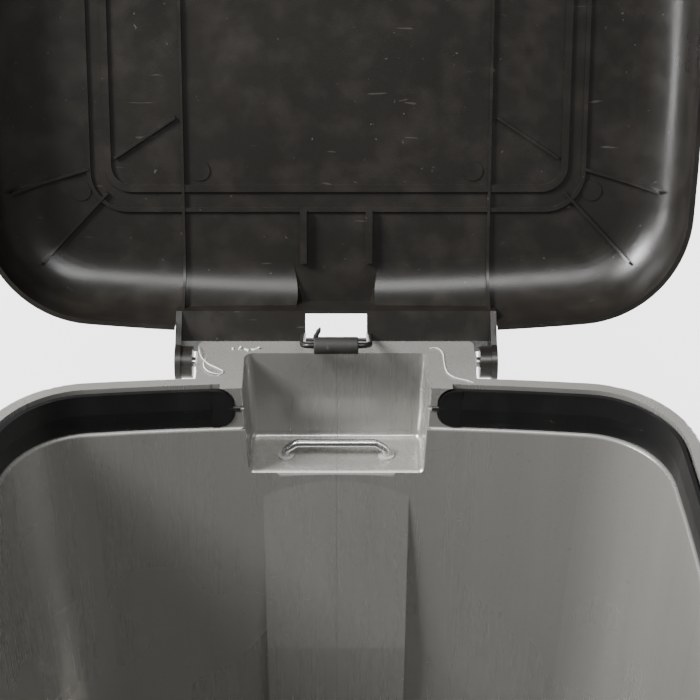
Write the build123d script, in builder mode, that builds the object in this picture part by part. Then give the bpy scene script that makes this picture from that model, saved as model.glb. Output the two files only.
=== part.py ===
from build123d import *
import math
import os

# Pedal trash can, about 50 litres. Millimetres, +Z up, the pedal faces -Y, the hinge is at +Y.
# Built with the lid thrown fully open and the pedal released.

# ---------------------------------------------------------------- driving dimensions
# body
RIM_Z = 600.0            # top of the body rim above the floor
RIM_W = 204.3            # half width of the rim
RIM_D = 165.0            # half depth of the rim
RIM_R = 62.0             # rim corner radius
RIM_ROUND = 1.8
BOW_REAR = 12.0          # how far the front and rear edges bulge at mid width
BOW_SIDE = 6.0           # how far the sides bulge at mid depth
WALL = 2.5
COLLAR_LOW = RIM_Z - 40.0
COLLAR_STEP = 10.5       # body wall to rim, outside
INNER_INSET = 13.0       # bin wall to rim, inside
SILL_Z = RIM_Z - 28.5    # sill that carries the bag ring
SILL_ROUND = 1.6
BASE_W = 181.0           # half width of the body's foot
BASE_D = 140.0
BASE_R = 50.0
BASE_Y = 10.5            # the rear wall is nearly upright, so the base sits further back
BIN_FLOOR = 90.5

# base plinth, feet and screws
FOOT_H = 6.0
FOOT_X = 140.0
FOOT_Y = 108.0
FOOT_R = 15.0
PLINTH_TOP = 46.0
PLINTH_FLOOR = FOOT_H + 3.0
PLINTH_GROW = 3.0        # plinth outside the body wall
PLINTH_SLACK = 0.9
SHELL_BASE = 34.0        # lower edge of the body shell, on the plinth ledge
FIT = 0.02               # slack of a fixed fit
RUN_GAP = 0.08           # radial running clearance
SCREW_R = 2.0
SCREW_HEAD_R = 4.2
SCREW_HEAD_H = 2.4
CROSS = (5.0, 1.0)       # length and width of a screw's cross slot
CROSS_DEPTH = 1.6
COVER_HEAD_H = 2.2       # heads of the cover screws
BOSS_POST_R = 7.0
BASE_BOSSES = [(x, BASE_Y + y) for x in (-125, 125) for y in (-95, 95)]
REACH = 2 * RIM_D        # longer than any piece, for cuts that run right through

# hinge block and alcove
BLOCK_W = 81.3
BLOCK_REAR = RIM_D + 33.5
BLOCK_LOW = RIM_Z - 75.0
BLOCK_WALL = 3.0
ALCOVE_W = 54.0
ALCOVE_FLOOR_W = 51.8
ALCOVE_REAR = RIM_D + 21.5
ALCOVE_Z = RIM_Z - 62.0
MOUTH_Y = RIM_D - 10.2   # where the alcove's front edge starts to round over
MOUTH_ROUND = 3.5

# channel behind the bin's rear wall
GROOVE_W = 41.0
GROOVE_Y = 145.5
GROOVE_TOP = BLOCK_LOW - 2.0
GROOVE_KNEE = 400.0      # below this height the channel stands out fully
GROOVE_LEAN = 0.066      # how fast it sinks into the wall above the knee
COVER_REAR = 177.0
COVER_W = 46.0
COVER_LOW = 9.0
COVER_T = 2.0

# lid
AXIS_Y = RIM_D + 22.0
AXIS_Z = RIM_Z - 7.0
LID_OPEN = 111.0
LIP_Z = RIM_Z - 9.9
LID_GAP = 1.5
LID_WALL = 1.9
LID_TOP = 632.0
LID_PANEL = 629.2        # inner face of the top panel
LID_FILLET = 32.0
NOTCH_Y = AXIS_Y - 28.5  # inner face of the lid wall above the hinge block
NOTCH_TOP = 620.3
EAR_IN = 91.2
EAR_OUT = 94.7
EAR_R = 11.0
BOSS_IN = 84.5
BOSS_R = 9.5
PIN_R = 3.0
BUSH_R = 4.6
BUSH_IN = 68.0

# mouldings inside the lid
RIB_H = 2.5
RIB_T = 1.6
RIB_RANGE = (RIM_Z + 3.0, LID_TOP)
LONG_RIB_X = 91.0
SHORT_RIB_X = 19.6
SHORT_RIB_T = 4.1
BEAD_H = 2.0
OUTER_BEAD = (148.0, 103.5, 24.0, 2.4)    # half width, half depth, corner radius, bead width
INNER_BEAD = (137.5, 91.5, 16.0, 4.2)
RIB_STARS = ((155.2, 112.2, 46.5, 56), (168.8, 84.3, 16.8, 46), (113.1, 59.1, 33.4, 44))
EJECTOR_MARKS = ((81, 79), (152, 91))
POCKET_W = 26.0          # half width at the mouth
POCKET_DEEP_W = 20.4     # half width at the bottom
POCKET_Y = NOTCH_Y - 24.0
POCKET_LOW = 612.0

# stirrup under the lid, measured from the hinge axis with the lid shut
BAR_Y = -16.5
BAR_Z = -23.4
STIRRUP_X = 19.4         # middle of the arms
STIRRUP_R = 1.7
STIRRUP_TOP = (-14.0, 10.5)
STIRRUP_BEND = 5.0
WINDOW_W = 18.2
SLEEVE_R = 5.0
SLEEVE_HALF = 12.8

# lift wire
WIRE_R = 2.5
WIRE_Y = AXIS_Y - 19.5
WIRE_X = 30.0
WIRE_TOP = ALCOVE_Z + 9.3
WIRE_FLAT = 23.5
WIRE_SHOULDER = 5.0
WIRE_BEND = 4.5
ROD_STROKE = 50.0
HOOK_IN = 19.0
GROMMET_R = 4.0
GUIDES = (("upper", 380.0), ("lower", 130.0))
GUIDE_REAR = 175.0
GUIDE_H = 12.0
GUIDE_RELIEF_W = 18.0    # half width of the notch between the two bores
GUIDE_BACK = 14.0        # depth of solid behind the notch
SCREW_LENGTH = 8.0       # cover screws
WELL_W = GROOVE_W - 5.0  # half width of the well where the wire meets the pedal lever
WELL_Y = (120.0, RIM_D)

# pedal
PIVOT_Y = -44.5
PIVOT_Z = 43.0
PEDAL_SWING = 13.6       # degrees from released to pressed
REAR_ARM = WIRE_Y - PIVOT_Y
FRONT_ARM = 140.0
AXLE_R = 4.0
LEVER_W = 25.0
LEVER_T = 2.0
LEVER_H = 16.0
HOOK_Z = PIVOT_Z - ROD_STROKE / 2
BRACKET_IN = 31.0
BRACKET_R = 14.0
BRACKET_T = 4.0
BRACKET_FOOT = 22.0      # reach of the bracket's foot
GUSSET_Y = 12.0          # gussets to either side of the pivot
GUSSET_W = 9.0
SLOT_W = 33.0            # half width of the slot the pedal comes out of
SLOT_Y = (-160.0, -100.0)
PEDAL_SLOT_LOW = 22.0
PEDAL_SLOT_TOP = 78.0
TREAD_Y = PIVOT_Y - FRONT_ARM - 18.0
TREAD_T = 9.0
TREAD_PLAN = (112.0, 48.0, 12.0)     # length, depth and corner radius
PAD_PLAN = (90.0, 30.0, 6.0)
PAD_FIT = 0.2            # slack of the pad in its recess
PAD_T = 2.0
PAD_RIBS = 5
PAD_RIB_PITCH = 5.5
PAD_RIB_T = 3.0
PAD_RIB_H = 1.6
PAD_SINK = 1.5

# bag ring
RING_OUT = 8.9           # outside of the ring, measured in from the rim
RING_T = 3.0
RING_H = 26.0
RING_Z = SILL_Z + 0.8 + RING_H / 2
RING_END = 59.3          # where the ring stops beside the alcove
RING_END_R = 10.0
RING_CORNER = 72.3       # its ends are flat from here on
RING_RIDGE = 0.7
RECESS_INSET = 7.2       # back of the bag ring recess
RECESS_GAP = 0.9
RECESS_BACK = 1.8        # space behind the ring's flat ends
PEG_Y = RIM_D - RING_OUT - RING_T / 2 - BOW_REAR * (RING_CORNER / RIM_W) ** 2
PEG_R = 1.7

# the row's origin: middle of the object's bounding box with the lid open, on the floor
ORIGIN_Y = 58.58

# outlines in the side plane, measured from the hinge axis with the lid shut
HOOD_FRONT = (-28.5, 10.6)
HOOD = (HOOD_FRONT, (-10.9, 7.85), (-11.9, 8.8), (-1.5, 18.5), (-3.2, 20.3), (-13.0, 11.2),
        (-28.5, 13.1))
EAR = ((-28.5, 10.6), (-9.2, -2.5), (9.2, -2.5), (1.0, 18.5), (-3.2, 24.0), (-28.5, 27.0))

os.makedirs("parts", exist_ok=True)


def plan(height, half_w, half_d, radius, centre_y=0.0):
    """Soft rectangle with bulging sides, lying at the given height."""
    cx = half_w - BOW_SIDE
    top = centre_y + half_d
    low = centre_y - half_d
    with BuildSketch(Plane.XY.offset(height)) as outline:
        with BuildLine():
            ThreePointArc((-cx, top - BOW_REAR), (0, top), (cx, top - BOW_REAR))
            ThreePointArc((cx, top - BOW_REAR), (half_w, centre_y), (cx, low + BOW_REAR))
            ThreePointArc((cx, low + BOW_REAR), (0, low), (-cx, low + BOW_REAR))
            ThreePointArc((-cx, low + BOW_REAR), (-half_w, centre_y), (-cx, top - BOW_REAR))
        make_face()
        fillet(outline.vertices(), radius)
    return outline.sketch


def rim_plan(height, inset):
    """The rim outline moved inwards by inset; a negative inset grows it."""
    return plan(height, RIM_W - inset, RIM_D - inset, RIM_R - inset)


def base_plan(height, inset):
    """The outline of the body's foot, moved inwards by inset."""
    return plan(height, BASE_W - inset, BASE_D - inset, BASE_R - inset, BASE_Y)


def block(x_range, y_range, z_range, mode=Mode.ADD):
    """A box between two corners."""
    size = (x_range[1] - x_range[0], y_range[1] - y_range[0], z_range[1] - z_range[0])
    with Locations((sum(x_range) / 2, sum(y_range) / 2, sum(z_range) / 2)):
        Box(*size, mode=mode)


def rod_x(x_range, y, z, radius, mode=Mode.ADD):
    """A round bar or bore along X."""
    with Locations(Location((sum(x_range) / 2, y, z), (0, 90, 0))):
        Cylinder(radius, x_range[1] - x_range[0], mode=mode)


def post(x, y, z_range, radius, mode=Mode.ADD):
    """A round bar or bore along Z."""
    with Locations((x, y, sum(z_range) / 2)):
        Cylinder(radius, z_range[1] - z_range[0], mode=mode)


def side_plate(points, x_range, mode=Mode.ADD):
    """A plate cut to an outline in the side plane, given as (y, z) points."""
    with BuildSketch(Plane.YZ.offset(x_range[0])) as outline:
        Polygon(*points, align=None)
    extrude(outline.sketch, amount=x_range[1] - x_range[0], mode=mode)


def ring_ends(back, depth, z_range, end, radius, mode=Mode.ADD):
    """Flat rounded ends beside the alcove, for the ring or for its recess; back is their rear face."""
    height = z_range[1] - z_range[0]
    length = 4 * radius
    with BuildSketch(Plane.XZ.offset(-back)) as ends:
        for side in (-1, 1):
            with Locations((side * (end + length / 2), sum(z_range) / 2)):
                RectangleRounded(length, height, radius)
        with Locations((0, sum(z_range) / 2)):
            Rectangle(2 * RING_CORNER, 2 * height, mode=Mode.INTERSECT)
    extrude(ends.sketch, amount=depth, mode=mode)


def round_over(start, radius, steps=4):
    """Offsets along and across a quarter round, as (distance travelled, amount grown)."""
    angles = [math.radians(90 * step / steps) for step in range(steps + 1)]
    return [(start + radius * math.sin(angle), radius * (1 - math.cos(angle))) for angle in angles]


def from_axis(*points):
    """Points given from the hinge axis as (y, z), in the side plane."""
    return [(AXIS_Y + y, AXIS_Z + z) for y, z in points]


def save(part, name):
    placed = part.moved(Location((0, -ORIGIN_Y, 0)))
    placed.label = name
    export_step(placed, f"parts/{name}.step")


def cross_slot(x, y, z):
    """Cross slot in a screw head that faces down."""
    with Locations((x, y, z)):
        Box(CROSS[0], CROSS[1], CROSS_DEPTH, mode=Mode.SUBTRACT)
        Box(CROSS[1], CROSS[0], CROSS_DEPTH, mode=Mode.SUBTRACT)


# ---------------------------------------------------------------- body shell
with BuildPart() as bin_space:
    sections = [rim_plan(SILL_Z - SILL_ROUND + rise, INNER_INSET - grown)
                for rise, grown in round_over(0, SILL_ROUND)]
    loft([base_plan(BIN_FLOOR, WALL), sections[0]])
    for low, high in zip(sections, sections[1:]):
        loft([low, high])
    extrude(sections[-1], amount=60)

with BuildPart() as ring_recess:
    extrude(rim_plan(SILL_Z, RECESS_INSET), amount=60)
    block((-RING_CORNER, RING_CORNER), (0, REACH), (SILL_Z - 1, RIM_Z + 40), Mode.SUBTRACT)
    ring_ends(PEG_Y + RING_T / 2 + RECESS_BACK, 40, (SILL_Z, RIM_Z + 0.3), RING_END - RECESS_GAP,
              RING_END_R + RECESS_GAP)

with BuildPart() as alcove_space:
    with BuildSketch(Plane.XY.offset(ALCOVE_Z)):
        with Locations((0, ALCOVE_REAR - 30)):
            Rectangle(2 * ALCOVE_FLOOR_W, 60)
    with BuildSketch(Plane.XY.offset(RIM_Z + 2)):
        with Locations((0, ALCOVE_REAR - 30)):
            Rectangle(2 * ALCOVE_W, 60)
    loft()
    rear_face = alcove_space.faces().sort_by(Axis.Y)[-1]
    fillet(rear_face.edges().filter_by(lambda edge: abs(edge.tangent_at(0).Z) > 0.5), 5)
    fillet(alcove_space.faces().sort_by(Axis.Z)[0].edges(), 3.5)

with BuildPart() as alcove_mouth:
    # the alcove's front edge, rounded over into the bin
    frames = []
    for travel, grown in round_over(0, MOUTH_ROUND):
        with BuildSketch(Plane.XZ.offset(travel - MOUTH_Y)) as frame:
            Polygon((-ALCOVE_FLOOR_W - grown, ALCOVE_Z - grown), (ALCOVE_FLOOR_W + grown, ALCOVE_Z - grown),
                    (ALCOVE_W + grown, RIM_Z + 2), (-ALCOVE_W - grown, RIM_Z + 2), align=None)
            fillet(frame.vertices().group_by(Axis.Z)[0], 3.5 + grown)
        frames.append(frame.sketch)
    for near, far in zip(frames, frames[1:]):
        loft([near, far])

with BuildPart() as skirt_gap:
    # hollow of the collar, open from below, with a narrow slot rising behind the ring recess
    extrude(rim_plan(COLLAR_LOW, WALL), amount=SILL_Z - WALL - COLLAR_LOW)
    extrude(rim_plan(COLLAR_LOW, COLLAR_STEP), amount=SILL_Z - WALL - COLLAR_LOW, mode=Mode.SUBTRACT)
    extrude(rim_plan(COLLAR_LOW, WALL), amount=RIM_Z - WALL - COLLAR_LOW)
    extrude(rim_plan(SILL_Z - WALL, RECESS_INSET - WALL), amount=40, mode=Mode.SUBTRACT)
    extrude(rim_plan(COLLAR_LOW, COLLAR_STEP), amount=40, mode=Mode.SUBTRACT)

with BuildPart() as body_shell:
    loft([base_plan(SHELL_BASE, 0), rim_plan(SILL_Z - WALL, COLLAR_STEP)])
    extrude(rim_plan(COLLAR_LOW, 0), amount=RIM_Z - COLLAR_LOW)
    fillet(body_shell.faces().sort_by(Axis.Z)[-1].edges(), RIM_ROUND)
    add(skirt_gap.part, mode=Mode.SUBTRACT)
    # hinge block, hollow from below, with the alcove tub in its middle
    block((-BLOCK_W, BLOCK_W), (RIM_D - COLLAR_STEP, BLOCK_REAR), (BLOCK_LOW, RIM_Z))
    block_edges = body_shell.edges().filter_by(Axis.Z).group_by(Axis.Y)[-1]
    fillet(block_edges, 4)
    block((-BLOCK_W + BLOCK_WALL, BLOCK_W - BLOCK_WALL), (RIM_D + 1, BLOCK_REAR - BLOCK_WALL),
          (BLOCK_LOW, RIM_Z - BLOCK_WALL), Mode.SUBTRACT)
    block((-BLOCK_W + BLOCK_WALL, BLOCK_W - BLOCK_WALL), (RIM_D - COLLAR_STEP + 0.3, RIM_D + 2),
          (BLOCK_LOW, COLLAR_LOW), Mode.SUBTRACT)
    block((-ALCOVE_W - WALL, ALCOVE_W + WALL), (RIM_D - INNER_INSET - 1, ALCOVE_REAR + WALL),
          (ALCOVE_Z - WALL, RIM_Z - 1))
    for side in (-1, 1):
        rod_x(sorted((side * BUSH_IN, side * (BLOCK_W - 1))), AXIS_Y, AXIS_Z, BUSH_R + 2.4)
    # channel for the wire pushed into the rear wall
    add(bin_space.part, mode=Mode.SUBTRACT)
    lean_top = ALCOVE_Z - MOUTH_ROUND
    front = GROOVE_Y - WALL
    side_plate([(RIM_D - COLLAR_STEP - 1, BIN_FLOOR - WALL), (front, BIN_FLOOR - WALL), (front, GROOVE_KNEE),
                (front + GROOVE_LEAN * (lean_top - GROOVE_KNEE), lean_top),
                (RIM_D - COLLAR_STEP - 1, lean_top)], (-GROOVE_W - WALL, GROOVE_W + WALL))
    side_plate([(RIM_D, SHELL_BASE), (GROOVE_Y, SHELL_BASE), (GROOVE_Y, GROOVE_KNEE),
                (GROOVE_Y + GROOVE_LEAN * (GROOVE_TOP - GROOVE_KNEE), GROOVE_TOP), (RIM_D, GROOVE_TOP)],
               (-GROOVE_W, GROOVE_W), Mode.SUBTRACT)
    add(ring_recess.part, mode=Mode.SUBTRACT)
    add(alcove_space.part, mode=Mode.SUBTRACT)
    add(alcove_mouth.part, mode=Mode.SUBTRACT)
    # space below the raised floor
    loft([base_plan(SHELL_BASE, WALL), base_plan(BIN_FLOOR - WALL, WALL + 1)], mode=Mode.SUBTRACT)
    for x, y in BASE_BOSSES:
        post(x, y, (PLINTH_FLOOR, BIN_FLOOR - 1), BOSS_POST_R)
        post(x, y, (PLINTH_FLOOR, PLINTH_FLOOR + 24), SCREW_R + 0.1, Mode.SUBTRACT)
    block((-SLOT_W, SLOT_W), SLOT_Y, (SHELL_BASE, PEDAL_SLOT_TOP), Mode.SUBTRACT)
    block((-WELL_W, WELL_W), WELL_Y, (SHELL_BASE, BIN_FLOOR - WALL), Mode.SUBTRACT)
    # bores
    for side in (-1, 1):
        rod_x(sorted((side * (BUSH_IN - 1), side * (BLOCK_W + 1))), AXIS_Y, AXIS_Z, BUSH_R + FIT,
              Mode.SUBTRACT)
        rod_x(sorted((side * (ALCOVE_W - 4), side * (RING_END + 1))), PEG_Y, RING_Z,
              PEG_R + RUN_GAP, Mode.SUBTRACT)
        post(side * WIRE_X, WIRE_Y, (ALCOVE_Z - 8, ALCOVE_Z + 3), GROMMET_R + FIT, Mode.SUBTRACT)
save(body_shell.part, "body_shell")

# ---------------------------------------------------------------- base plinth, feet and screws
with BuildPart() as base_plinth:
    extrude(base_plan(FOOT_H, -PLINTH_GROW), amount=PLINTH_TOP - FOOT_H)
    fillet(base_plinth.faces().sort_by(Axis.Z)[0].edges(), 2)
    extrude(base_plan(SHELL_BASE, -PLINTH_SLACK), amount=20, mode=Mode.SUBTRACT)
    extrude(base_plan(PLINTH_FLOOR, WALL), amount=40, mode=Mode.SUBTRACT)
    block((-SLOT_W, SLOT_W), SLOT_Y, (PEDAL_SLOT_LOW, PLINTH_TOP + 1), Mode.SUBTRACT)
    block((-WELL_W, WELL_W), WELL_Y, (PLINTH_FLOOR, PLINTH_TOP + 1), Mode.SUBTRACT)
    for x, y in BASE_BOSSES:
        post(x, y, (0, 20), SCREW_R + 0.3, Mode.SUBTRACT)
save(base_plinth.part, "base_plinth")

with BuildPart() as base_screws:
    for x, y in BASE_BOSSES:
        post(x, y, (FOOT_H, FOOT_H + 22), SCREW_R)
        post(x, y, (FOOT_H - SCREW_HEAD_H, FOOT_H), SCREW_HEAD_R)
        cross_slot(x, y, FOOT_H - SCREW_HEAD_H)
save(base_screws.part, "base_screws")

for x_name, x in (("left", -FOOT_X), ("right", FOOT_X)):
    for y_name, y in (("front", BASE_Y - FOOT_Y), ("rear", BASE_Y + FOOT_Y)):
        with BuildPart() as foot:
            post(x, y, (0, FOOT_H), FOOT_R)
            chamfer(foot.faces().sort_by(Axis.Z)[0].edges(), 1)
        save(foot.part, f"foot_{y_name}_{x_name}")

# ---------------------------------------------------------------- lid, drawn shut and then thrown open
with BuildPart() as lid_space:
    extrude(rim_plan(LIP_Z, -LID_GAP), amount=LID_PANEL - LIP_Z)
    fillet(lid_space.faces().sort_by(Axis.Z)[-1].edges(), LID_FILLET)

with BuildPart() as lid_core:
    extrude(rim_plan(LIP_Z - 1, RIB_H - LID_GAP), amount=LID_PANEL - RIB_H - LIP_Z + 1)
    fillet(lid_core.faces().sort_by(Axis.Z)[-1].edges(), LID_FILLET)

with BuildPart() as rib_bars:
    for side in (-1, 1):
        block(sorted((side * (LONG_RIB_X - RIB_T / 2), side * (LONG_RIB_X + RIB_T / 2))), (-RIM_D, RIM_D),
              RIB_RANGE)
    for side_x in (-1, 1):
        for side_y in (-1, 1):
            for x, y, angle, length in RIB_STARS:
                spot = (side_x * x, side_y * y, sum(RIB_RANGE) / 2)
                with Locations(Location(spot, (0, 0, angle * side_x * side_y))):
                    Box(length, RIB_T, RIB_RANGE[1] - RIB_RANGE[0])

with BuildPart() as lid_ribs:
    add(lid_space.part)
    add(lid_core.part, mode=Mode.SUBTRACT)
    add(rib_bars.part, mode=Mode.INTERSECT)

with BuildPart() as lid_beads:
    # two rounded rectangular beads, two short ribs and the ejector marks on the inner face
    for half_w, half_d, radius, width in (OUTER_BEAD, INNER_BEAD):
        with BuildSketch(Plane.XY.offset(LID_PANEL - BEAD_H)) as bead:
            RectangleRounded(2 * half_w, 2 * half_d, radius)
            RectangleRounded(2 * (half_w - width), 2 * (half_d - width), radius - width, mode=Mode.SUBTRACT)
        extrude(bead.sketch, amount=BEAD_H + 0.6)
    for side in (-1, 1):
        block(sorted((side * (SHORT_RIB_X - SHORT_RIB_T / 2), side * (SHORT_RIB_X + SHORT_RIB_T / 2))),
              (OUTER_BEAD[1] - 1, POCKET_Y + 5), (LID_PANEL - 5, LID_PANEL + 1))
    marks = [(side_x * x, side_y * y, LID_PANEL - 0.2) for x, y in EJECTOR_MARKS
             for side_x in (-1, 1) for side_y in (-1, 1)]
    with Locations(*marks):
        Cylinder(6, 1)
        Cylinder(5.2, 0.8, mode=Mode.SUBTRACT)

with BuildPart() as pocket_space:
    # square pocket in the rounded rear edge, narrower at its bottom
    with BuildSketch(Plane.XY.offset(POCKET_LOW - 1)) as mouth:
        Polygon((-POCKET_W, POCKET_Y), (POCKET_W, POCKET_Y), (POCKET_W, NOTCH_Y), (-POCKET_W, NOTCH_Y),
                align=None)
    with BuildSketch(Plane.XY.offset(LID_PANEL)) as bottom:
        Polygon((-POCKET_W, POCKET_Y), (POCKET_W, POCKET_Y), (POCKET_DEEP_W, NOTCH_Y),
                (-POCKET_DEEP_W, NOTCH_Y), align=None)
    loft([mouth.sketch, bottom.sketch])

with BuildPart() as stirrup:
    top_y, top_z = AXIS_Y + STIRRUP_TOP[0], AXIS_Z + STIRRUP_TOP[1]
    bar_y, bar_z = AXIS_Y + BAR_Y, AXIS_Z + BAR_Z
    with BuildLine():
        FilletPolyline((-STIRRUP_X, top_y, top_z), (-STIRRUP_X, bar_y, bar_z), (STIRRUP_X, bar_y, bar_z),
                       (STIRRUP_X, top_y, top_z), radius=STIRRUP_BEND)
    with BuildSketch(Plane((-STIRRUP_X, top_y, top_z), z_dir=(0, bar_y - top_y, bar_z - top_z))):
        Circle(STIRRUP_R)
    sweep()

with BuildPart() as lid_shell:
    extrude(rim_plan(LIP_Z, -LID_GAP - LID_WALL), amount=LID_TOP - LIP_Z)
    fillet(lid_shell.faces().sort_by(Axis.Z)[-1].edges(), LID_FILLET)
    # a thin bead runs round the lip
    extrude(rim_plan(LIP_Z, -LID_GAP - LID_WALL - 0.9), amount=3)
    # square housing of the pocket, proud of the rounded rear edge
    block((-POCKET_W - WALL, POCKET_W + WALL), (POCKET_Y - WALL, NOTCH_Y + WALL), (POCKET_LOW, LID_TOP))
    add(lid_space.part, mode=Mode.SUBTRACT)
    add(lid_ribs.part)
    add(lid_beads.part)
    # set-in wall and hood above the hinge block
    block((-EAR_OUT, EAR_OUT), (NOTCH_Y, AXIS_Y), (LIP_Z - 5, AXIS_Z + HOOD_FRONT[1]), Mode.SUBTRACT)
    block((-EAR_OUT, EAR_OUT), (NOTCH_Y, NOTCH_Y + WALL), (AXIS_Z + HOOD_FRONT[1], NOTCH_TOP))
    block((-EAR_IN, EAR_IN), (NOTCH_Y + WALL, AXIS_Y), (AXIS_Z + HOOD_FRONT[1], LID_TOP + 5), Mode.SUBTRACT)
    side_plate(from_axis(*HOOD), (-EAR_OUT, EAR_OUT))
    add(pocket_space.part, mode=Mode.SUBTRACT)
    # window through the hood and the stirrup that hangs round it
    block((-WINDOW_W, WINDOW_W), (AXIS_Y - 27, AXIS_Y - 11.6), (AXIS_Z + 4, AXIS_Z + 14), Mode.SUBTRACT)
    add(stirrup.part)
    for side in (-1, 1):
        ear = sorted((side * EAR_IN, side * EAR_OUT))
        side_plate(from_axis(*EAR), ear)
        rod_x(ear, AXIS_Y, AXIS_Z, EAR_R)
        rod_x(sorted((side * BOSS_IN, side * EAR_OUT)), AXIS_Y, AXIS_Z, BOSS_R)
        rod_x(sorted((side * (BOSS_IN - 1), side * (EAR_OUT + 1))), AXIS_Y, AXIS_Z, PIN_R + FIT,
              Mode.SUBTRACT)

with BuildPart() as damper_sleeve:
    rod_x((-SLEEVE_HALF, SLEEVE_HALF), AXIS_Y + BAR_Y, AXIS_Z + BAR_Z, SLEEVE_R)
    fillet(damper_sleeve.edges(), 0.8)
    rod_x((-30, 30), AXIS_Y + BAR_Y, AXIS_Z + BAR_Z, STIRRUP_R + FIT, Mode.SUBTRACT)

hinge_line = Axis((0, AXIS_Y, AXIS_Z), (1, 0, 0))
save(lid_shell.part.rotate(hinge_line, -LID_OPEN), "lid_shell")
save(damper_sleeve.part.rotate(hinge_line, -LID_OPEN), "damper_sleeve")

for name, side in (("left", -1), ("right", 1)):
    with BuildPart() as hinge_pin:
        rod_x(sorted((side * (BUSH_IN + 1), side * (EAR_OUT - 0.3))), AXIS_Y, AXIS_Z, PIN_R)
        chamfer(hinge_pin.edges(), 0.4)
    save(hinge_pin.part, f"hinge_pin_{name}")
    with BuildPart() as hinge_bush:
        rod_x(sorted((side * BUSH_IN, side * BLOCK_W)), AXIS_Y, AXIS_Z, BUSH_R)
        rod_x(sorted((side * BLOCK_W, side * (BLOCK_W + 1.2))), AXIS_Y, AXIS_Z, BUSH_R + 1.8)
        rod_x(sorted((side * BUSH_IN, side * (BLOCK_W + 2))), AXIS_Y, AXIS_Z, PIN_R + RUN_GAP,
              Mode.SUBTRACT)
    save(hinge_bush.part, f"hinge_bush_{name}")

# ---------------------------------------------------------------- bag ring
with BuildPart() as bag_ring:
    extrude(rim_plan(RING_Z - RING_H / 2, RING_OUT), amount=RING_H)
    # the inner face has a shallow ridge half way up
    edge_inset = RING_OUT + RING_T - RING_RIDGE
    loft([rim_plan(RING_Z - RING_H / 2, edge_inset), rim_plan(RING_Z, RING_OUT + RING_T)], mode=Mode.SUBTRACT)
    loft([rim_plan(RING_Z, RING_OUT + RING_T), rim_plan(RING_Z + RING_H / 2, edge_inset)], mode=Mode.SUBTRACT)
    block((-RING_CORNER, RING_CORNER), (0, REACH), (SILL_Z - 10, RIM_Z + 10), Mode.SUBTRACT)
    ring_ends(PEG_Y + RING_T / 2, RING_T, (RING_Z - RING_H / 2, RING_Z + RING_H / 2), RING_END, RING_END_R)
    for side in (-1, 1):
        rod_x(sorted((side * (RING_END - 4), side * (RING_END + 3))), PEG_Y, RING_Z, PEG_R)
save(bag_ring.part, "bag_ring")

# ---------------------------------------------------------------- lift wire, grommets, guides, cover
with BuildPart() as lift_rod:
    with BuildLine():
        FilletPolyline((-HOOK_IN, WIRE_Y, HOOK_Z), (-WIRE_X, WIRE_Y, HOOK_Z),
                       (-WIRE_X, WIRE_Y, WIRE_TOP - WIRE_SHOULDER), (-WIRE_FLAT, WIRE_Y, WIRE_TOP),
                       (WIRE_FLAT, WIRE_Y, WIRE_TOP), (WIRE_X, WIRE_Y, WIRE_TOP - WIRE_SHOULDER),
                       (WIRE_X, WIRE_Y, HOOK_Z), (HOOK_IN, WIRE_Y, HOOK_Z), radius=WIRE_BEND)
    with BuildSketch(Plane.YZ.offset(-HOOK_IN)):
        with Locations((WIRE_Y, HOOK_Z)):
            Circle(WIRE_R)
    sweep()
save(lift_rod.part, "lift_rod")

for name, side in (("left", -1), ("right", 1)):
    with BuildPart() as rod_grommet:
        post(side * WIRE_X, WIRE_Y, (ALCOVE_Z, ALCOVE_Z + 0.8), GROMMET_R + 0.9)
        post(side * WIRE_X, WIRE_Y, (ALCOVE_Z - 4, ALCOVE_Z + 1), GROMMET_R)
        post(side * WIRE_X, WIRE_Y, (ALCOVE_Z - 5, ALCOVE_Z + 2), WIRE_R + RUN_GAP, Mode.SUBTRACT)
    save(rod_grommet.part, f"rod_grommet_{name}")
    with BuildPart() as rod_clip:
        rod_x(sorted((side * (HOOK_IN + 0.6), side * (HOOK_IN + 2.2))), WIRE_Y, HOOK_Z, WIRE_R + 2.5)
        rod_x(sorted((side * HOOK_IN, side * (HOOK_IN + 3))), WIRE_Y, HOOK_Z, WIRE_R + FIT, Mode.SUBTRACT)
        block(sorted((side * HOOK_IN, side * (HOOK_IN + 3))), (WIRE_Y - 1, WIRE_Y + 1),
              (HOOK_Z, HOOK_Z + 8), Mode.SUBTRACT)
    save(rod_clip.part, f"rod_clip_{name}")
    with BuildPart() as axle_bracket:
        plate = sorted((side * BRACKET_IN, side * (BRACKET_IN + BRACKET_T)))
        foot_reach = sorted((side * BRACKET_IN, side * (BRACKET_IN + BRACKET_FOOT)))
        gusset_reach = sorted((side * BRACKET_IN, side * (BRACKET_IN + GUSSET_W)))
        bracket_y = (PIVOT_Y - BRACKET_R, PIVOT_Y + BRACKET_R)
        block(plate, bracket_y, (PLINTH_FLOOR, PIVOT_Z))
        rod_x(plate, PIVOT_Y, PIVOT_Z, BRACKET_R)
        block(foot_reach, bracket_y, (PLINTH_FLOOR, PLINTH_FLOOR + BRACKET_T))
        for y in (PIVOT_Y - GUSSET_Y, PIVOT_Y + GUSSET_Y):
            block(gusset_reach, (y - BRACKET_T / 2, y + BRACKET_T / 2), (PLINTH_FLOOR, PIVOT_Z - 8))
        rod_x(sorted((side * (BRACKET_IN - 1), side * (BRACKET_IN + GUSSET_W + 1))), PIVOT_Y, PIVOT_Z,
              AXLE_R + RUN_GAP, Mode.SUBTRACT)
    save(axle_bracket.part, f"axle_bracket_{name}")

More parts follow.
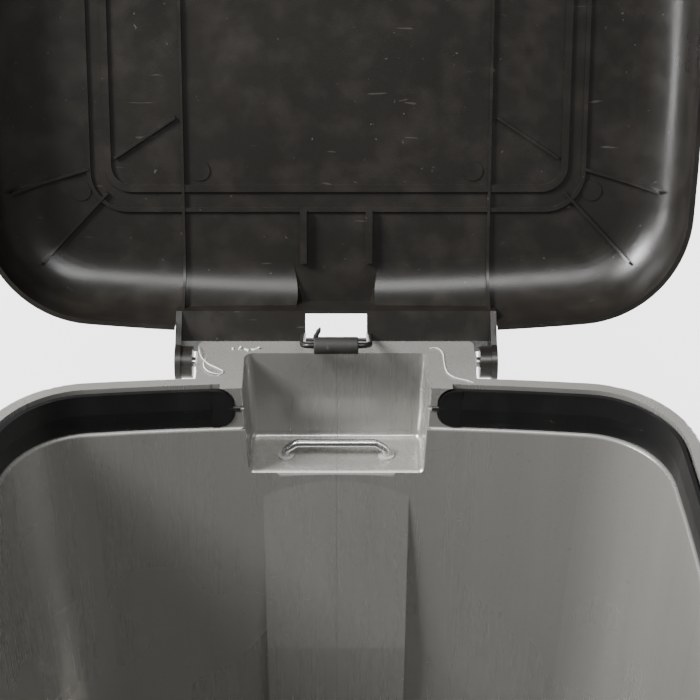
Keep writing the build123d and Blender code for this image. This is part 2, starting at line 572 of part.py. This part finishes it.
for name, z in GUIDES:
    with BuildPart() as rod_guide:
        block((-GROOVE_W + 2, GROOVE_W - 2), (GROOVE_Y, GUIDE_REAR), (z - GUIDE_H / 2, z + GUIDE_H / 2))
        through = (z - GUIDE_H / 2 - 1, z + GUIDE_H / 2 + 1)
        block((-GUIDE_RELIEF_W, GUIDE_RELIEF_W), (GROOVE_Y - 1, GUIDE_REAR - GUIDE_BACK), through,
              Mode.SUBTRACT)
        for side in (-1, 1):
            post(side * WIRE_X, WIRE_Y, through, WIRE_R + RUN_GAP, Mode.SUBTRACT)
        with Locations(Location((0, GUIDE_REAR - 5, z), (90, 0, 0))):
            Cylinder(SCREW_R + 0.1, 12, mode=Mode.SUBTRACT)
    save(rod_guide.part, f"rod_guide_{name}")

with BuildPart() as channel_cover:
    block((-COVER_W, COVER_W), (RIM_D - COLLAR_STEP + 0.5, COVER_REAR), (COVER_LOW, BLOCK_LOW - 1))
    fillet(channel_cover.edges().filter_by(Axis.Z).group_by(Axis.Y)[-1], 5)
    block((-COVER_W + COVER_T, COVER_W - COVER_T), (100, COVER_REAR - COVER_T), (COVER_LOW - 1, BLOCK_LOW),
          Mode.SUBTRACT)
    for name, z in GUIDES:
        with Locations(Location((0, COVER_REAR, z), (90, 0, 0))):
            Cylinder(SCREW_R + 0.2, 10, mode=Mode.SUBTRACT)
save(channel_cover.part, "channel_cover")

with BuildPart() as cover_screws:
    for name, z in GUIDES:
        with Locations(Location((0, COVER_REAR - SCREW_LENGTH / 2, z), (90, 0, 0))):
            Cylinder(SCREW_R, SCREW_LENGTH)
        with Locations(Location((0, COVER_REAR + COVER_HEAD_H / 2, z), (90, 0, 0))):
            Cylinder(SCREW_HEAD_R, COVER_HEAD_H)
        with Locations((0, COVER_REAR + COVER_HEAD_H, z)):
            Box(CROSS[0], CROSS_DEPTH, CROSS[1], mode=Mode.SUBTRACT)
            Box(CROSS[1], CROSS_DEPTH, CROSS[0], mode=Mode.SUBTRACT)
save(cover_screws.part, "cover_screws")

# ---------------------------------------------------------------- pedal, drawn level at mid travel
with BuildPart() as pedal_lever:
    block((-LEVER_W, LEVER_W), (PIVOT_Y - FRONT_ARM - 12, WIRE_Y + 6.4),
          (PIVOT_Z - LEVER_H / 2, PIVOT_Z + LEVER_H / 2))
    block((-LEVER_W + LEVER_T, LEVER_W - LEVER_T), (PIVOT_Y - FRONT_ARM - 20, WIRE_Y + 20),
          (PIVOT_Z - LEVER_H, PIVOT_Z + LEVER_H / 2 - LEVER_T), Mode.SUBTRACT)
    rod_x((-LEVER_W - 1, LEVER_W + 1), PIVOT_Y, PIVOT_Z, AXLE_R + FIT, Mode.SUBTRACT)
    with BuildSketch(Plane.YZ.offset(-LEVER_W - 1)):
        with Locations((PIVOT_Y + REAR_ARM + 0.9, PIVOT_Z)):
            SlotCenterToCenter(2.6, 2 * WIRE_R + 0.9)
    extrude(amount=2 * LEVER_W + 2, mode=Mode.SUBTRACT)

tread_low = PIVOT_Z + LEVER_H / 2
tread_top = tread_low + TREAD_T

with BuildPart() as pedal_tread:
    with BuildSketch(Plane.XY.offset(tread_low)):
        with Locations((0, TREAD_Y)):
            RectangleRounded(*TREAD_PLAN)
    extrude(amount=TREAD_T)
    fillet(pedal_tread.faces().sort_by(Axis.Z)[-1].edges(), 3)
    with BuildSketch(Plane.XY.offset(tread_top - PAD_SINK)):
        with Locations((0, TREAD_Y)):
            RectangleRounded(*PAD_PLAN)
    extrude(amount=PAD_SINK + 1, mode=Mode.SUBTRACT)

with BuildPart() as pedal_grip_pad:
    with BuildSketch(Plane.XY.offset(tread_top - PAD_SINK)):
        with Locations((0, TREAD_Y)):
            RectangleRounded(PAD_PLAN[0] - 2 * PAD_FIT, PAD_PLAN[1] - 2 * PAD_FIT, PAD_PLAN[2] - PAD_FIT)
    extrude(amount=PAD_T)
    for row in range(PAD_RIBS):
        rib_y = TREAD_Y + (row - (PAD_RIBS - 1) / 2) * PAD_RIB_PITCH
        block((-40, 40), (rib_y - PAD_RIB_T / 2, rib_y + PAD_RIB_T / 2), (tread_top, tread_top + PAD_RIB_H))

with BuildPart() as pedal_axle:
    rod_x((-BRACKET_IN - 8, BRACKET_IN + 8), PIVOT_Y, PIVOT_Z, AXLE_R)
    chamfer(pedal_axle.edges(), 0.6)

pivot_line = Axis((0, PIVOT_Y, PIVOT_Z), (1, 0, 0))
for piece, name in ((pedal_lever, "pedal_lever"), (pedal_tread, "pedal_tread"),
                    (pedal_grip_pad, "pedal_grip_pad"), (pedal_axle, "pedal_axle")):
    save(piece.part.rotate(pivot_line, -PEDAL_SWING / 2), name)
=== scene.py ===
import math
import random

import bpy
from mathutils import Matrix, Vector


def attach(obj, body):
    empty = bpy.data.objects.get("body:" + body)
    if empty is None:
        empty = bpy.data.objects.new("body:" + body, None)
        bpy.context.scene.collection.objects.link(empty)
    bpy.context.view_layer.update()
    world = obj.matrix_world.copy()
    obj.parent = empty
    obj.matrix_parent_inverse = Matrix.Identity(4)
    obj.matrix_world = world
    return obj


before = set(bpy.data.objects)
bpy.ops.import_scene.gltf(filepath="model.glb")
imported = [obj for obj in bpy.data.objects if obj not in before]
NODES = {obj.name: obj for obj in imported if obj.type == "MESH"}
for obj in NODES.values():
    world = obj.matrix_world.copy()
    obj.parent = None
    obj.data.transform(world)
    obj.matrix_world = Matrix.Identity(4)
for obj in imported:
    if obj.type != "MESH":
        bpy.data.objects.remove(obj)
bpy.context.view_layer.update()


MM = 0.001
ORIGIN_Y = 58.58         # the drawing's middle plane lies this far in front of the origin, in mm


# ------------------------------------------------------------------ materials
class Paint:
    """Builds one procedural material out of layers laid in object space."""

    def __init__(self, name, colour, roughness, metallic=0.0, specular=0.5):
        self.mat = bpy.data.materials.new(name)
        self.mat.use_nodes = True
        self.tree = self.mat.node_tree
        self.bsdf = self.tree.nodes["Principled BSDF"]
        self.bsdf.inputs["Metallic"].default_value = metallic
        self.bsdf.inputs["Specular IOR Level"].default_value = specular
        self.coords = self.node("ShaderNodeTexCoord").outputs["Object"]
        self.colour = self.rgb(colour)
        self.rough = self.number(roughness)
        self.height = None

    def node(self, kind, **props):
        made = self.tree.nodes.new(kind)
        for key, setting in props.items():
            setattr(made, key, setting)
        return made

    def link(self, source, target):
        self.tree.links.new(source, target)

    def number(self, value):
        made = self.node("ShaderNodeValue")
        made.outputs[0].default_value = value
        return made.outputs[0]

    def rgb(self, colour):
        made = self.node("ShaderNodeRGB")
        made.outputs[0].default_value = (*colour, 1.0)
        return made.outputs[0]

    def stretched(self, scale):
        made = self.node("ShaderNodeMapping")
        made.inputs["Scale"].default_value = scale
        self.link(self.coords, made.inputs["Vector"])
        return made.outputs[0]

    def ramp(self, source, low, high):
        made = self.node("ShaderNodeMapRange")
        made.inputs["From Min"].default_value = low
        made.inputs["From Max"].default_value = high
        self.link(source, made.inputs["Value"])
        return made.outputs[0]

    def noise(self, scale, low, high, detail=3.0, stretch=(1, 1, 1), twist=0.0):
        """Noise mapped so that low becomes 0 and high becomes 1."""
        made = self.node("ShaderNodeTexNoise")
        made.inputs["Scale"].default_value = scale
        made.inputs["Detail"].default_value = detail
        made.inputs["Distortion"].default_value = twist
        self.link(self.stretched(stretch), made.inputs["Vector"])
        return self.ramp(made.outputs["Fac"], low, high)

    def cells(self, scale, low, high, feature="F1"):
        made = self.node("ShaderNodeTexVoronoi", feature=feature)
        made.inputs["Scale"].default_value = scale
        self.link(self.coords, made.inputs["Vector"])
        return self.ramp(made.outputs["Distance"], low, high)

    def maths(self, operation, a, b):
        made = self.node("ShaderNodeMath", operation=operation)
        for socket, given in zip(made.inputs, (a, b)):
            if isinstance(given, (int, float)):
                socket.default_value = given
            else:
                self.link(given, socket)
        return made.outputs[0]

    def place(self, axis):
        made = self.node("ShaderNodeSeparateXYZ")
        self.link(self.coords, made.inputs[0])
        return made.outputs["XYZ".index(axis)]

    def near(self, axis, middle, reach):
        """1 at the middle, falling to 0 at the given distance along one axis."""
        gap = self.maths("ABSOLUTE", self.maths("SUBTRACT", self.place(axis), middle), 0)
        return self.ramp(gap, reach, 0)

    def tint(self, mask, colour, strength=1.0):
        """Lays a colour over what is there where the mask is high."""
        made = self.node("ShaderNodeMix", data_type="RGBA")
        self.link(self.maths("MULTIPLY", mask, strength), made.inputs["Factor"])
        self.link(self.colour, made.inputs[6])
        made.inputs[7].default_value = (*colour, 1.0)
        self.colour = made.outputs[2]

    def roughen(self, mask, amount):
        self.rough = self.maths("ADD", self.rough, self.maths("MULTIPLY", mask, amount))

    def emboss(self, mask, amount):
        """Adds to the bump height; amount is in millimetres."""
        layer = self.maths("MULTIPLY", mask, amount)
        self.height = layer if self.height is None else self.maths("ADD", self.height, layer)

    def done(self):
        self.link(self.colour, self.bsdf.inputs["Base Color"])
        self.link(self.rough, self.bsdf.inputs["Roughness"])
        if self.height is not None:
            bump = self.node("ShaderNodeBump")
            bump.inputs["Distance"].default_value = MM
            self.link(self.height, bump.inputs["Height"])
            self.link(bump.outputs[0], self.bsdf.inputs["Normal"])
        return self.mat


def silver_plastic():
    paint = Paint("silver_plastic", (0.34, 0.335, 0.315), 0.26, metallic=0.55)
    # painted reflection: broad lighter vertical bands and fine darker vertical streaks in the colour stand
    # in for the streaky reflections on the glossy silver; the same masks also vary roughness and bump height
    painted_reflection_bands = paint.noise(9, 0.35, 0.65, stretch=(6, 6, 0.35), detail=4)
    paint.tint(painted_reflection_bands, (0.39, 0.384, 0.362), 0.4)
    painted_reflection_streaks = paint.noise(40, 0.5, 0.8, stretch=(7, 7, 0.12), detail=5)
    paint.tint(painted_reflection_streaks, (0.27, 0.266, 0.252), 0.18)
    cloud = paint.noise(5, 0.42, 0.7, detail=2)
    paint.tint(cloud, (0.3, 0.295, 0.278), 0.5)
    flake = paint.noise(2600, 0.5, 0.66, detail=1)
    paint.tint(flake, (0.5, 0.495, 0.47), 0.25)
    scuffs = paint.noise(26, 0.68, 0.76, stretch=(1.4, 0.8, 5), detail=6, twist=0.2)
    paint.tint(scuffs, (0.44, 0.435, 0.415), 0.16)
    knit = paint.near("X", 0.0006, 0.0007)
    paint.tint(knit, (0.2, 0.197, 0.185), 0.35)
    dust = paint.noise(320, 0.7, 0.74, detail=2)
    paint.tint(dust, (0.2, 0.19, 0.17), 0.35)
    paint.roughen(painted_reflection_streaks, 0.06)
    paint.roughen(cloud, 0.05)
    paint.roughen(scuffs, 0.12)
    paint.emboss(painted_reflection_bands, 0.02)
    paint.emboss(painted_reflection_streaks, 0.004)
    paint.emboss(flake, 0.004)
    paint.emboss(knit, -0.05)
    return paint.done()


def black_plastic(name, colour, sheen, roughness):
    paint = Paint(name, colour, roughness)
    cloud = paint.noise(7, 0.38, 0.7, detail=3)
    paint.tint(cloud, tuple(1.5 * c for c in colour), 0.5)
    haze = paint.noise(55, 0.45, 0.75, detail=9)
    paint.tint(haze, sheen, 0.22)
    rubbed = paint.noise(24, 0.6, 0.78, stretch=(1, 1.3, 1.3), detail=10, twist=0.3)
    paint.tint(rubbed, sheen, 0.3)
    grain = paint.noise(1500, 0.35, 0.68, detail=3)
    paint.tint(grain, tuple(0.6 * c for c in colour), 0.4)
    scratches = paint.noise(70, 0.735, 0.755, stretch=(0.5, 8, 4), detail=2, twist=0.3)
    paint.tint(scratches, tuple(1.8 * c for c in sheen), 0.3)
    dust = paint.noise(340, 0.735, 0.765, detail=2)
    paint.tint(dust, (0.12, 0.11, 0.1), 0.45)
    paint.roughen(cloud, 0.06)
    paint.roughen(haze, 0.08)
    paint.roughen(scratches, 0.12)
    paint.emboss(grain, 0.016)
    paint.emboss(haze, 0.02)
    paint.emboss(cloud, 0.06)
    return paint.done()


def rubber():
    paint = Paint("black_rubber", (0.014, 0.014, 0.013), 0.55, specular=0.4)
    bloom = paint.noise(60, 0.45, 0.7, detail=4)
    paint.tint(bloom, (0.035, 0.033, 0.03), 0.6)
    nicks = paint.cells(420, 0.0, 0.05, feature="DISTANCE_TO_EDGE")
    paint.tint(nicks, (0.03, 0.03, 0.03), 0.2)
    chalk = paint.noise(240, 0.66, 0.72, detail=3)
    paint.tint(chalk, (0.16, 0.15, 0.14), 0.35)
    paint.roughen(bloom, 0.12)
    paint.emboss(paint.noise(700, 0.3, 0.7), 0.06)
    paint.emboss(nicks, 0.03)
    return paint.done()


def zinc():
    paint = Paint("zinc_steel", (0.6, 0.61, 0.61), 0.22, metallic=1.0)
    spangle = paint.cells(240, 0.0, 0.5)
    paint.tint(spangle, (0.72, 0.72, 0.71), 0.4)
    drawn = paint.noise(120, 0.4, 0.7, stretch=(9, 9, 0.25), detail=4)
    paint.tint(drawn, (0.45, 0.45, 0.45), 0.45)
    dull = paint.noise(38, 0.55, 0.72, detail=4)
    paint.tint(dull, (0.42, 0.4, 0.37), 0.4)
    paint.roughen(dull, 0.18)
    paint.roughen(drawn, 0.06)
    paint.emboss(drawn, 0.012)
    return paint.done()


def nylon(name, colour):
    paint = Paint(name, colour, 0.42, specular=0.45)
    cloud = paint.noise(90, 0.4, 0.7)
    paint.tint(cloud, tuple(0.85 * c for c in colour), 0.5)
    grease = paint.noise(140, 0.6, 0.72, detail=4)
    paint.tint(grease, tuple(0.45 * c for c in colour), 0.45)
    paint.roughen(grease, -0.12)
    paint.emboss(paint.noise(1200, 0.3, 0.7), 0.01)
    return paint.done()


SILVER = silver_plastic()
LID_BLACK = black_plastic("lid_plastic", (0.0105, 0.0093, 0.0078), (0.045, 0.039, 0.032), 0.27)
RING_BLACK = black_plastic("ring_plastic", (0.008, 0.008, 0.008), (0.022, 0.022, 0.022), 0.3)
BASE_BLACK = black_plastic("base_plastic", (0.014, 0.014, 0.014), (0.05, 0.05, 0.048), 0.42)
RUBBER = rubber()
ZINC = zinc()
NYLON = nylon("pale_nylon", (0.6, 0.59, 0.55))
GREY_NYLON = nylon("grey_nylon", (0.36, 0.355, 0.34))

FINISH = {
    "body_shell": SILVER,
    "channel_cover": SILVER,
    "lid_shell": LID_BLACK,
    "bag_ring": RING_BLACK,
    "base_plinth": BASE_BLACK,
    "pedal_tread": BASE_BLACK,
    "axle_bracket_left": BASE_BLACK,
    "axle_bracket_right": BASE_BLACK,
    "damper_sleeve": RUBBER,
    "pedal_grip_pad": RUBBER,
}
FINISH_BY_START = (("foot_", RUBBER), ("rod_grommet", GREY_NYLON), ("hinge_bush", NYLON),
                   ("rod_guide", NYLON), ("", ZINC))
for name, node in NODES.items():
    fallback = next(finish for start, finish in FINISH_BY_START if name.startswith(start))
    node.data.materials.clear()
    node.data.materials.append(FINISH.get(name, fallback))


# ------------------------------------------------------------------ mesh makers
def mesh_object(name, verts, faces, material, smooth=True):
    mesh = bpy.data.meshes.new(name)
    mesh.from_pydata(verts, [], faces)
    mesh.materials.append(material)
    for polygon in mesh.polygons:
        polygon.use_smooth = smooth
    made = bpy.data.objects.new(name, mesh)
    bpy.context.scene.collection.objects.link(made)
    return made


def smooth_path(points, per_span=8):
    """Catmull-Rom curve through the points."""
    ends = [points[0] * 2 - points[1]] + points + [points[-1] * 2 - points[-2]]
    path = []
    for a, b, c, d in zip(ends, ends[1:], ends[2:], ends[3:]):
        for step in range(per_span):
            t = step / per_span
            path.append(0.5 * (2 * b + (c - a) * t + (2 * a - 5 * b + 4 * c - d) * t * t
                               + (3 * b - a - 3 * c + d) * t ** 3))
    path.append(points[-1])
    return path


def strand(name, points, radius, material, sides=8):
    """Thin tapering thread of plastic along points given in metres."""
    path = smooth_path([Vector(point) for point in points])
    verts = []
    faces = []
    side = Vector((0, 0, 1))
    for i, spot in enumerate(path):
        ahead = (path[min(i + 1, len(path) - 1)] - path[max(i - 1, 0)]).normalized()
        across = ahead.cross(side).normalized()
        up = across.cross(ahead)
        share = i / (len(path) - 1)
        thick = radius * (0.35 + 0.65 * math.sin(math.pi * min(max(share, 0.04), 0.96)) ** 0.5)
        for j in range(sides):
            angle = 2 * math.pi * j / sides
            verts.append(spot + thick * (math.cos(angle) * across + math.sin(angle) * up))
        if i:
            base = (i - 1) * sides
            for j in range(sides):
                k = (j + 1) % sides
                faces.append((base + j, base + k, base + sides + k, base + sides + j))
    faces.append(tuple(range(sides - 1, -1, -1)))
    faces.append(tuple(range(len(verts) - sides, len(verts))))
    return mesh_object(name, verts, faces, material)


LEAF_SECTION = ((-1, -0.5), (0, -0.8), (1, -0.5), (1, 0.5), (0, 0.2), (-1, 0.5))


def leaf(name, spine, widths, thickness, material):
    """Thin curled sliver: a flat solid that follows a spine, widest where the widths say."""
    verts = []
    faces = []
    last = len(spine) - 1
    sides = len(LEAF_SECTION)
    for i, (spot, width) in enumerate(zip(spine, widths)):
        ahead = (spine[min(i + 1, last)] - spine[max(i - 1, 0)]).normalized()
        across = ahead.cross(Vector((0, 1, 0))).normalized()
        out = across.cross(ahead)
        for u, v in LEAF_SECTION:
            verts.append(spot + across * width * u + out * thickness * v)
        if i:
            base = sides * (i - 1)
            for j in range(sides):
                k = (j + 1) % sides
                faces.append((base + j, base + k, base + sides + k, base + sides + j))
    faces.append(tuple(range(sides - 1, -1, -1)))
    faces.append(tuple(range(sides * last, sides * last + sides)))
    return mesh_object(name, verts, faces, material)


def drawing(x, y, z):
    """A point of the drawing, in mm, as a place in the scene."""
    return Vector((x, y - ORIGIN_Y, z)) * MM


# ------------------------------------------------------------------ moulding flash
# Points are x and y of the drawing and the height over the rim, in mm. The shut lid's hood passes less than
# 1 mm over the hinge block at y 176, so the strands lie low there.
FLASH = nylon("moulding_flash", (0.72, 0.71, 0.68))
RIM_TOP = 600.0
STRAND_R = 0.34
STRAND_LIFT = 0.2
CRUMB_R = 0.5
CRUMB_LOW = 0.15
CRUMBS = 5
FLASH_CURLS = {
    "flash_curl_outer": ((-80.9, 192.0, 0.9), (-80.4, 186.0, 2.2), (-78.6, 181.0, 0.7), (-74.4, 175.6, 0.1),
                         (-68.6, 170.6, 0.5), (-65.6, 167.3, 0.7), (-68.5, 163.8, 0.25)),
    "flash_curl_inner": ((-76.0, 181.3, 0.3), (-77.4, 176.0, 0.17), (-75.8, 170.0, 0.6), (-72.6, 166.4, 0.8),
                         (-67.4, 165.4, 0.3)),
    "flash_thread_right": ((55.3, 191.0, 0.2), (59.8, 190.5, 0.4), (62.7, 185.4, 0.3), (63.0, 177.0, 0.17),
                           (64.2, 167.8, 0.2), (68.3, 162.4, 0.25), (74.7, 159.7, 0.2), (79.0, 157.5, 0.17)),
}
for name, points in FLASH_CURLS.items():
    lifted = [drawing(x, y, RIM_TOP + z + STRAND_LIFT) for x, y, z in points]
    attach(strand(name, lifted, STRAND_R * MM, FLASH), "base")

random.seed(7)
for number in range(CRUMBS):
    start = Vector((-61.0 + 3.6 * number, 191.5 - 1.3 * (number % 2), 0.2))
    points = [start]
    for step in range(4):
        drift = Vector((random.uniform(-0.3, 1.5), random.uniform(-1.4, 1.4), random.uniform(-0.3, 0.5)))
        points.append(points[-1] + drift)
    crumb = [drawing(p.x, p.y, RIM_TOP + max(p.z, CRUMB_LOW)) for p in points]
    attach(strand(f"flash_crumb_{number}", crumb, CRUMB_R * MM, FLASH), "base")

# torn sliver that stands on the left end of the sleeve
FLAKE_POINTS = ((-12.2, 172.2, 620.9), (-11.6, 172.6, 622.4), (-10.9, 172.9, 623.9), (-10.2, 173.4, 625.2),
                (-9.5, 174.0, 626.3), (-9.2, 174.7, 627.0))
FLAKE_SPINE = [drawing(x, y, z) for x, y, z in FLAKE_POINTS]
FLAKE_WIDTHS = [width * MM for width in (1.1, 1.5, 1.2, 1.4, 0.9, 0.35)]
FLAKE_THICK = 0.5
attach(leaf("sleeve_flake", FLAKE_SPINE, FLAKE_WIDTHS, FLAKE_THICK * MM, RUBBER), "lid")


# ------------------------------------------------------------------ floor, light, camera
def floor():
    paint = Paint("floor", (0.94, 0.94, 0.935), 0.6, specular=0.2)
    paint.tint(paint.noise(3, 0.4, 0.7), (0.925, 0.925, 0.92), 0.6)
    size = 7.0
    steps = 14
    line = [size * (i / steps - 0.5) for i in range(steps + 1)]
    verts = [(x, y + 1.0, 0.0) for y in line for x in line]
    row = steps + 1
    faces = [(j * row + i, j * row + i + 1, (j + 1) * row + i + 1, (j + 1) * row + i)
             for j in range(steps) for i in range(steps)]
    mesh_object("floor", verts, faces, paint.done(), smooth=False)


def area(name, place, target, size, power):
    data = bpy.data.lights.new(name, "AREA")
    data.shape = "RECTANGLE"
    data.size, data.size_y = size
    data.energy = power
    lamp = bpy.data.objects.new(name, data)
    lamp.location = place
    lamp.rotation_euler = (Vector(target) - Vector(place)).to_track_quat("-Z", "Y").to_euler()
    bpy.context.scene.collection.objects.link(lamp)


def sky(colour, strength):
    world = bpy.data.worlds.new("studio")
    world.use_nodes = True
    background = world.node_tree.nodes["Background"]
    background.inputs[0].default_value = (*colour, 1)
    background.inputs[1].default_value = strength
    bpy.context.scene.world = world


floor()
sky((0.97, 0.98, 1.0), 0.18)
area("key", (-1.5, -0.4, 2.1), (0.1, 0.1, 0.55), (0.7, 0.7), 112)
area("top", (0.25, -0.95, 2.6), (0.0, 0.1, 0.6), (1.5, 0.7), 34)
area("strip", (-1.7, -0.15, 0.95), (0.0, 0.15, 0.75), (0.22, 0.9), 16)
area("floor_left", (-2.1, 1.5, 0.8), (0.0, 1.3, 0.0), (1.6, 0.5), 190)
area("floor_right", (2.1, 1.5, 0.8), (0.0, 1.3, 0.0), (1.6, 0.5), 190)

PITCH = 36.25            # degrees the camera looks down
camera = bpy.data.objects.new("camera", bpy.data.cameras.new("camera"))
camera.data.sensor_width = 36
camera.data.lens = 92.87
camera.data.shift_x = 0.0198
camera.data.clip_end = 20
camera.location = drawing(0.0, -668.5, 1229.2)
camera.rotation_euler = (math.radians(90 - PITCH), 0, 0)
bpy.context.scene.collection.objects.link(camera)
bpy.context.scene.camera = camera
